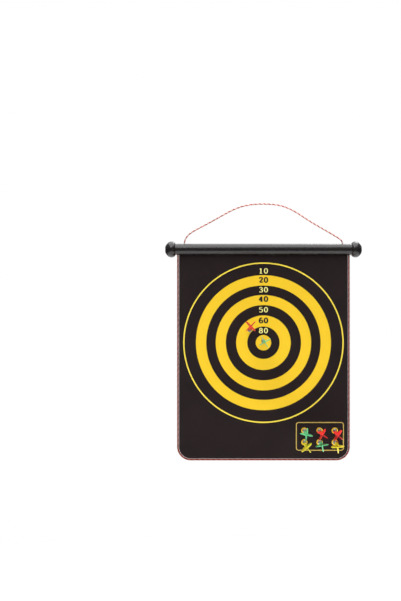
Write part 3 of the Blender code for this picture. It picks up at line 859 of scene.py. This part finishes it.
# Strokes of each numeral in a cell 0.62 wide and 1 high: straight bars, bends and ovals
NUMERALS = {
    "0": [("oval", (0.31, 0.50, 0.245, 0.455))],
    "1": [
        ("bar", [(0.31, 0.04), (0.31, 0.96)]),
        ("bar", [(0.31, 0.94), (0.14, 0.79)]),
        ("bar", [(0.10, 0.04), (0.52, 0.04)]),
    ],
    "2": [
        (
            "bend",
            [(0.09, 0.72), (0.12, 0.88), (0.30, 0.96), (0.50, 0.87)]
            + [(0.52, 0.68), (0.40, 0.46), (0.10, 0.06)],
        ),
        ("bar", [(0.08, 0.06), (0.55, 0.06)]),
        ("bar", [(0.55, 0.06), (0.56, 0.22)]),
    ],
    "3": [
        ("bend", [(0.10, 0.80), (0.20, 0.94), (0.38, 0.95), (0.50, 0.82), (0.46, 0.62), (0.26, 0.53)]),
        ("bend", [(0.26, 0.53), (0.50, 0.46), (0.56, 0.26), (0.44, 0.07), (0.24, 0.04), (0.08, 0.18)]),
    ],
    "4": [
        ("bar", [(0.42, 0.96), (0.05, 0.30)]),
        ("bar", [(0.05, 0.28), (0.59, 0.28)]),
        ("bar", [(0.42, 0.96), (0.42, 0.04)]),
        ("bar", [(0.27, 0.04), (0.57, 0.04)]),
    ],
    "5": [
        ("bar", [(0.13, 0.93), (0.53, 0.93)]),
        ("bar", [(0.13, 0.95), (0.10, 0.55)]),
        (
            "bend",
            [(0.10, 0.55), (0.30, 0.62), (0.50, 0.52), (0.55, 0.30)]
            + [(0.44, 0.08), (0.25, 0.03), (0.08, 0.15)],
        ),
    ],
    "6": [
        (
            "bend",
            [(0.51, 0.87), (0.36, 0.96), (0.18, 0.84), (0.09, 0.55), (0.10, 0.25), (0.22, 0.06)]
            + [(0.38, 0.04), (0.54, 0.18), (0.53, 0.42), (0.38, 0.56), (0.20, 0.50), (0.10, 0.34)],
        )
    ],
    "7": [
        ("bar", [(0.08, 0.74), (0.08, 0.93)]),
        ("bar", [(0.07, 0.92), (0.56, 0.92)]),
        ("bend", [(0.56, 0.93), (0.36, 0.50), (0.27, 0.04)]),
    ],
    "8": [("oval", (0.31, 0.73, 0.19, 0.225)), ("oval", (0.31, 0.27, 0.24, 0.235))],
}
NUMERAL_CELL = 0.62


def stroke_line(kind, points):
    if kind == "oval":
        x, y, across, up = points
        return [Vector((x + across * c, y + up * s)) for c, s in circle((0, 0), 1, 28)]
    line = [Vector(p) for p in points]
    return smooth_line([p.to_3d() for p in line], 6) if kind == "bend" else line


def add_stroke(bm, line, closed, pen, bottom, top):
    """A closed ribbon along the line, wider where the line runs up than where it runs across."""
    thin, thick = pen
    count = len(line)
    rings = []
    for i, place in enumerate(line):
        before = line[(i - 1) % count] if closed else line[max(i - 1, 0)]
        after = line[(i + 1) % count] if closed else line[min(i + 1, count - 1)]
        way = (after.xy - before.xy).normalized()
        half = thin + (thick - thin) * abs(way.y)
        aside = Vector((-way.y, way.x)) * half
        left, right = place.xy + aside, place.xy - aside
        corners = ((left, bottom), (right, bottom), (right, top), (left, top))
        rings.append([bm.verts.new((p.x, p.y, z)) for p, z in corners])
    pairs = list(zip(rings, rings[1:]))
    if closed:
        pairs.append((rings[-1], rings[0]))
    else:
        bm.faces.new(rings[0])
        bm.faces.new(reversed(rings[-1]))
    for a, b in pairs:
        for k in range(4):
            bm.faces.new((a[k], b[k], b[(k + 1) % 4], a[(k + 1) % 4]))


def number_plate(text, centre, height, stretch, space, pen, top):
    """A number with its middle at the centre, drawn with the pen's thin and thick half widths."""
    bm = bmesh.new()
    advance = (NUMERAL_CELL + space) * stretch * height
    width = advance * len(text) - space * stretch * height
    layer = 0
    for place, figure in enumerate(text):
        upside_down = figure == "9"
        for kind, points in NUMERALS["6" if upside_down else figure]:
            line = []
            for point in stroke_line(kind, points):
                x, y = (NUMERAL_CELL - point.x, 1 - point.y) if upside_down else point.xy
                x = centre[0] - width / 2 + place * advance + x * stretch * height
                line.append(Vector((x, centre[1] + (y - 0.5) * height, 0)))
            pens = [half * height for half in pen]
            add_stroke(bm, line, kind == "oval", pens, -INK_SUNK, top + layer * STROKE_STEP)
            layer += 1
    bmesh.ops.recalc_face_normals(bm, faces=bm.faces)
    mesh = bpy.data.meshes.new("number")
    bm.to_mesh(mesh)
    bm.free()
    return add_object("number", mesh)


# ---------------------------------------------------------------- printed targets


def band(inner, outer, top, centre=(0, 0), steps=180):
    """A ring, or a disc where the inner radius is zero."""
    outlines = [circle(centre, outer, steps)]
    if inner > 0:
        outlines.append(circle(centre, inner, steps))
    return plate("band", outlines, -INK_SUNK, top)


def ring_sector(inner, outer, start, end, top):
    """Part of a ring between two angles in degrees."""
    steps = max(2, round(abs(end - start) / 1.5))
    outline = arc((0, 0), outer, start, end, steps) + arc((0, 0), inner, end, start, steps)
    return plate("sector", [outline], -INK_SUNK, top)


def rounded_box(low, high, radius):
    (x0, y0), (x1, y1) = low, high
    corners = ((x1, y1, 0), (x0, y1, 90), (x0, y0, 180), (x1, y0, 270))
    points = []
    for x, y, start in corners:
        across = math.copysign(radius, x - (x0 + x1) / 2)
        up = math.copysign(radius, y - (y0 + y1) / 2)
        points += arc((x - across, y - up), radius, start, start + 90, 6)
    return points


def print_on(face, height, name, plates, material):
    """Join the plates of one ink and lay them on a face of the mat."""
    lift = Matrix.Translation((0, 0, height))
    print_piece = coloured(joined(name, plates, lift @ face), material)
    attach(print_piece, "mat")


def print_ring_target():
    bands = [band(inner, outer, BAND_INK) for inner, outer in RING_BANDS]
    print_on(FRONT_FACE, RING_CENTRE_Z, "ring_target_bands", bands, "ink_yellow")
    line = [band(*RING_LINE, LINE_INK)]
    print_on(FRONT_FACE, RING_CENTRE_Z, "ring_target_line", line, "ink_bright")
    style = (RING_NUMBER_HEIGHT, RING_NUMBER_STRETCH, RING_NUMBER_SPACE)
    for ink_name, material, pen in RING_NUMBER_INKS:
        numbers = [
            number_plate(text, (0, rise), *style, pen, NUMBER_INK)
            for text, rise, colour in RING_NUMBERS
            if colour == ink_name
        ]
        name = f"ring_target_numbers_{ink_name}"
        print_on(FRONT_FACE, RING_CENTRE_Z, name, numbers, material)


def print_parking_box():
    """Six spots under the parked magnets, in a box with rounded corners."""
    magnets = [middle(f"dart_park_{i}_magnet") for i in range(1, 7)]
    left = min(m.x for m in magnets) - BOX_MARGIN_LEFT
    right = max(m.x for m in magnets) + BOX_MARGIN_RIGHT
    bottom = min(m.z for m in magnets) - BOX_MARGIN_BOTTOM
    top = max(m.z for m in magnets) + BOX_MARGIN_TOP
    half = BOX_LINE_WIDTH / 2
    outer = rounded_box((left - half, bottom - half), (right + half, top + half), BOX_CORNER_RADIUS)
    inner_radius = BOX_CORNER_RADIUS - BOX_LINE_WIDTH
    inner = rounded_box((left + half, bottom + half), (right - half, top - half), inner_radius)
    line = [plate("line", [outer, inner], -INK_SUNK, LINE_INK)]
    print_on(FRONT_FACE, 0, "parking_box_line", line, "ink_gold")
    spots, rims = [], []
    for magnet in magnets:
        centre = (magnet.x, magnet.z)
        spots.append(band(0, SPOT_CENTRE_RADIUS, BAND_INK, centre, 48))
        rims.append(band(SPOT_CENTRE_RADIUS, SPOT_RADIUS, LINE_INK, centre, 48))
    print_on(FRONT_FACE, 0, "parking_spot_centres", spots, "ink_orange")
    print_on(FRONT_FACE, 0, "parking_spot_rims", rims, "ink_yellow")


def print_clock_target():
    fields, reds, greens, wires = [], [], [], []
    for place, score in enumerate(CLOCK_ORDER):
        centre = 90 - CLOCK_ANGLE * place
        start, end = centre - CLOCK_ANGLE / 2, centre + CLOCK_ANGLE / 2
        if score in CLOCK_PALE:
            fields += [ring_sector(a, b, start, end, FIELD_INK) for a, b in CLOCK_FIELDS]
        colours = reds if score in CLOCK_PALE else greens
        for inner, outer in (CLOCK_DOUBLE, CLOCK_TREBLE):
            spare = math.degrees(CLOCK_WIRE / 2 / inner)
            colours.append(ring_sector(inner, outer, start + spare, end - spare, BAND_INK))
        edge = math.radians(end)
        across = Vector((-math.sin(edge), math.cos(edge))) * CLOCK_WIRE / 2
        out = Vector((math.cos(edge), math.sin(edge)))
        near, far = out * CLOCK_HUB, out * CLOCK_WIRE_END
        outline = [tuple(p) for p in (near - across, far - across, far + across, near + across)]
        wires.append(plate("wire", [outline], -INK_SUNK, LINE_INK + place * STROKE_STEP))
    wires += [band(inner, outer, NUMBER_INK) for inner, outer in CLOCK_LINES]
    reds.append(band(0, CLOCK_BULL, LINE_INK, steps=60))
    print_on(BACK_FACE, CLOCK_CENTRE_Z, "clock_target_fields", fields, "ink_tan")
    print_on(BACK_FACE, CLOCK_CENTRE_Z, "clock_target_wires", wires, "ink_bright")
    print_on(BACK_FACE, CLOCK_CENTRE_Z, "clock_target_red", reds, "ink_red")
    print_on(BACK_FACE, CLOCK_CENTRE_Z, "clock_target_green", greens, "ink_green")
    bull = [band(CLOCK_BULL, CLOCK_BULL_RING, LINE_INK, steps=60)]
    print_on(BACK_FACE, CLOCK_CENTRE_Z, "clock_target_bull_ring", bull, "ink_orange")
    numbers = []
    for place, score in enumerate(CLOCK_ORDER):
        angle = math.radians(90 - CLOCK_ANGLE * place)
        centre = (CLOCK_NUMBER_RADIUS * math.cos(angle), CLOCK_NUMBER_RADIUS * math.sin(angle))
        style = (*CLOCK_NUMBER_STYLE, CLOCK_NUMBER_PEN)
        numbers.append(number_plate(str(score), centre, *style, NUMBER_INK))
    print_on(BACK_FACE, CLOCK_CENTRE_Z, "clock_target_numbers", numbers, "ink_bright")


print_ring_target()
print_parking_box()
print_clock_target()

# ---------------------------------------------------------------- header

TUBE_WALL = 0.0015
SLOT_HALF_WIDTH = 0.0018
CORD_HOLE_DIAMETER = 0.0045
HOLE_EDGE = 0.0012  # width and depth of the broken edge round a cord hole
CAP_SOCKET = 0.0120
CAP_WIDEST = 0.0075
CAP_BULGE = 0.0155
CAP_SHOULDER = 0.0165
CAP_STEP = 0.0005
CAP_RIM_RADIUS = 0.0140
CAP_ROUNDING = 0.0006
CAP_CLEARANCE = 0.0003


def cutter(name, low_radius, high_radius, place, depth):
    bpy.ops.mesh.primitive_cone_add(
        vertices=48, radius1=low_radius, radius2=high_radius, depth=depth, location=place
    )
    obj = bpy.context.object
    obj.name = name
    return obj


def make_header_tube():
    """The slotted tube, with its two cord holes and their broken edges."""
    inner_radius = TUBE_RADIUS - TUBE_WALL
    outer = math.degrees(math.asin(SLOT_HALF_WIDTH / TUBE_RADIUS))
    inner = math.degrees(math.asin(SLOT_HALF_WIDTH / inner_radius))
    outline = arc((0, 0), TUBE_RADIUS, outer - 90, 270 - outer, 144)
    outline += arc((0, 0), inner_radius, 270 - inner, inner - 90, 96)
    tube = plate("slotted_tube", [outline], -TUBE_LENGTH / 2, TUBE_LENGTH / 2)
    tube.data.transform(Matrix.Translation((0, 0, TUBE_Z)) @ ALONG_TUBE)
    cutters = []
    for knot in ("cord_knot_left", "cord_knot_right"):
        x = middle(knot).x
        radius = CORD_HOLE_DIAMETER / 2
        cutters.append(cutter("hole", radius, radius, (x, 0, TUBE_TOP), 0.008))
        place = (x, 0, TUBE_TOP + 0.0001)
        cutters.append(cutter("hole_edge", radius, radius + HOLE_EDGE, place, HOLE_EDGE))
    for tool in cutters:
        cut = tube.modifiers.new(tool.name, "BOOLEAN")
        cut.operation = "DIFFERENCE"
        cut.object = tool
    tube = baked(tube)
    for tool in cutters:
        bpy.data.objects.remove(tool)
    coloured(smooth_shaded(tube), "header_plastic")
    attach(tube, "header")
    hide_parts("header_tube")


def cap_profile(length, radius):
    """Nose, shallow step, belly, rim and socket as (radius, height above the rim)."""

    def nose(z):
        return radius * math.sqrt(1 - ((z - CAP_WIDEST) / CAP_BULGE) ** 2)

    half = radius * math.sqrt(1 - (CAP_RIM_RADIUS / radius) ** 2)
    rear = CAP_WIDEST / half * radius
    tip = nose(length) - 2 * CAP_STEP
    points = [(0, length), (tip - CAP_ROUNDING, length), (tip, length - CAP_ROUNDING / 3)]
    for i in range(1, 15):
        z = length - (length - CAP_SHOULDER) * (i / 14) ** 1.6
        points.append((nose(z) - CAP_STEP, z))
    points += [(nose(CAP_SHOULDER) - CAP_STEP / 4, CAP_SHOULDER - CAP_STEP / 4)]
    for i in range(1, 13):
        z = CAP_SHOULDER - CAP_STEP - (CAP_SHOULDER - CAP_STEP - CAP_WIDEST) * i / 12
        points.append((nose(z), z))
    for i in range(1, 10):
        z = CAP_WIDEST * (1 - i / 10)
        points.append((radius * math.sqrt(1 - ((z - CAP_WIDEST) / rear) ** 2), z))
    bore = TUBE_RADIUS + CAP_CLEARANCE
    rim = [(CAP_RIM_RADIUS, 0.0003), (CAP_RIM_RADIUS - 0.0003, 0), (bore, 0)]
    return points + rim + [(bore, CAP_SOCKET), (0, CAP_SOCKET)]


def turned(name, profile, steps):
    """A turned solid about Z from (radius, height) points, with its poles closed."""
    mesh = bpy.data.meshes.new(name)
    mesh.from_pydata([(r, 0, z) for r, z in profile], [(i, i + 1) for i in range(len(profile) - 1)], [])
    obj = add_object(name, mesh)
    screw = obj.modifiers.new("turn", "SCREW")
    screw.steps = steps
    screw.render_steps = steps
    return baked(obj, 1e-6)


def make_cap(node, side):
    extent = size(node)
    name = node.replace("cap", "ball_cap")
    cap = turned(name, cap_profile(extent.x, extent.z / 2), 96)
    rim_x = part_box(node)[1].x if side < 0 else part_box(node)[0].x
    cap.data.transform(Matrix.Rotation(side * math.radians(90), 4, "Y"))
    cap.data.transform(Matrix.Translation((rim_x, 0, TUBE_Z)))
    coloured(smooth_shaded(cap, 24), "header_plastic")
    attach(cap, node)
    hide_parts(node)


make_header_tube()
make_cap("cap_left", -1)
make_cap("cap_right", 1)

# ---------------------------------------------------------------- kept pieces


def dress(node, material):
    """A material for a piece whose shape stays as it is."""
    for slot in frame["nodes"][node].material_slots:
        slot.material = MATERIALS[material]


def merged_copy(node, name, material, body):
    """The piece with its points merged, so that its round faces are shaded smooth."""
    mesh = frame["nodes"][node].data.copy()
    bm = bmesh_from(mesh)
    bmesh.ops.remove_doubles(bm, verts=bm.verts, dist=1e-6)
    bm.to_mesh(mesh)
    bm.free()
    copy = coloured(smooth_shaded(add_object(name, mesh), 38), material)
    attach(copy, body)
    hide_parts(node)


DART_COLOURS = {
    "dart_bull": "green",
    "dart_ring": "red",
    "dart_park_1": "green",
    "dart_park_2": "red",
    "dart_park_3": "red",
    "dart_park_4": "yellow",
    "dart_park_5": "green",
    "dart_park_6": "yellow",
}

dress("hem_rod", "rod_steel")
dress("mat_hem", "hem_felt")
for knot_node in ("cord_knot_left", "cord_knot_right"):
    dress(knot_node, "knotted_yarn")
for dart, dart_colour in DART_COLOURS.items():
    finishes = {
        "magnet": "magnet_nickel",
        "cup": "dart_steel",
        "pin": "dart_steel",
        "barrel": f"dart_{dart_colour}",
        "flight": f"dart_{dart_colour}",
    }
    for part, finish_name in finishes.items():
        node = f"{dart}_{part}"
        merged_copy(node, f"{node}_finished", finish_name, dart)

# ---------------------------------------------------------------- studio


def soft_box(name, place, target, width, height, power):
    data = bpy.data.lights.new(name, "AREA")
    data.shape = "RECTANGLE"
    data.size = width
    data.size_y = height
    data.energy = power
    lamp = add_object(name, data)
    lamp.visible_camera = False
    lamp.location = place
    lamp.rotation_euler = (Vector(target) - Vector(place)).to_track_quat("-Z", "Y").to_euler()


def set_world():
    """A white surround that gives soft light, more of it from above than from the horizon."""
    world = bpy.data.worlds.new("studio")
    world.use_nodes = True
    bpy.context.scene.world = world
    tree = world.node_tree
    tree.nodes.clear()
    seen = add_node(tree, "ShaderNodeBackground", {"Color": (1.0, 1.0, 1.0, 1.0), "Strength": 1.0})
    way = add_node(tree, "ShaderNodeTexCoord").outputs["Generated"]
    height = add_node(tree, "ShaderNodeSeparateXYZ", {0: way}).outputs["Z"]
    sky = ramp(tree, height, [(0.0, 0.12), (1.0, 0.55)])
    given = add_node(tree, "ShaderNodeBackground", {"Color": sky, "Strength": 1.0})
    ray = add_node(tree, "ShaderNodeLightPath").outputs["Is Camera Ray"]
    inputs = {0: ray, 1: given.outputs[0], 2: seen.outputs[0]}
    blend = add_node(tree, "ShaderNodeMixShader", inputs)
    add_node(tree, "ShaderNodeOutputWorld", {"Surface": blend.outputs[0]})


FLOOR_RADIUS = 1.4
FLOOR_DROP = 0.35  # below the lowest point of the board


def make_floor():
    bm = bmesh.new()
    bmesh.ops.create_circle(bm, cap_ends=True, segments=96, radius=FLOOR_RADIUS)
    mesh = bpy.data.meshes.new("floor")
    bm.to_mesh(mesh)
    bm.free()
    mesh.transform(Matrix.Translation((0, 0, CAD_BOX[0].z - FLOOR_DROP)))
    coloured(add_object("floor", mesh), "studio_floor")


centre = (CAD_BOX[0] + CAD_BOX[1]) / 2
soft_box("key", (-0.7, -1.9, 1.6), centre, 0.9, 0.9, 16)
soft_box("overhead", (0.0, 0.0, 1.6), centre, 2.8, 3.4, 104)
soft_box("rear", (0.7, 1.9, 1.6), centre, 0.9, 0.9, 16)
set_world()
make_floor()
bpy.context.scene.view_settings.view_transform = "Standard"
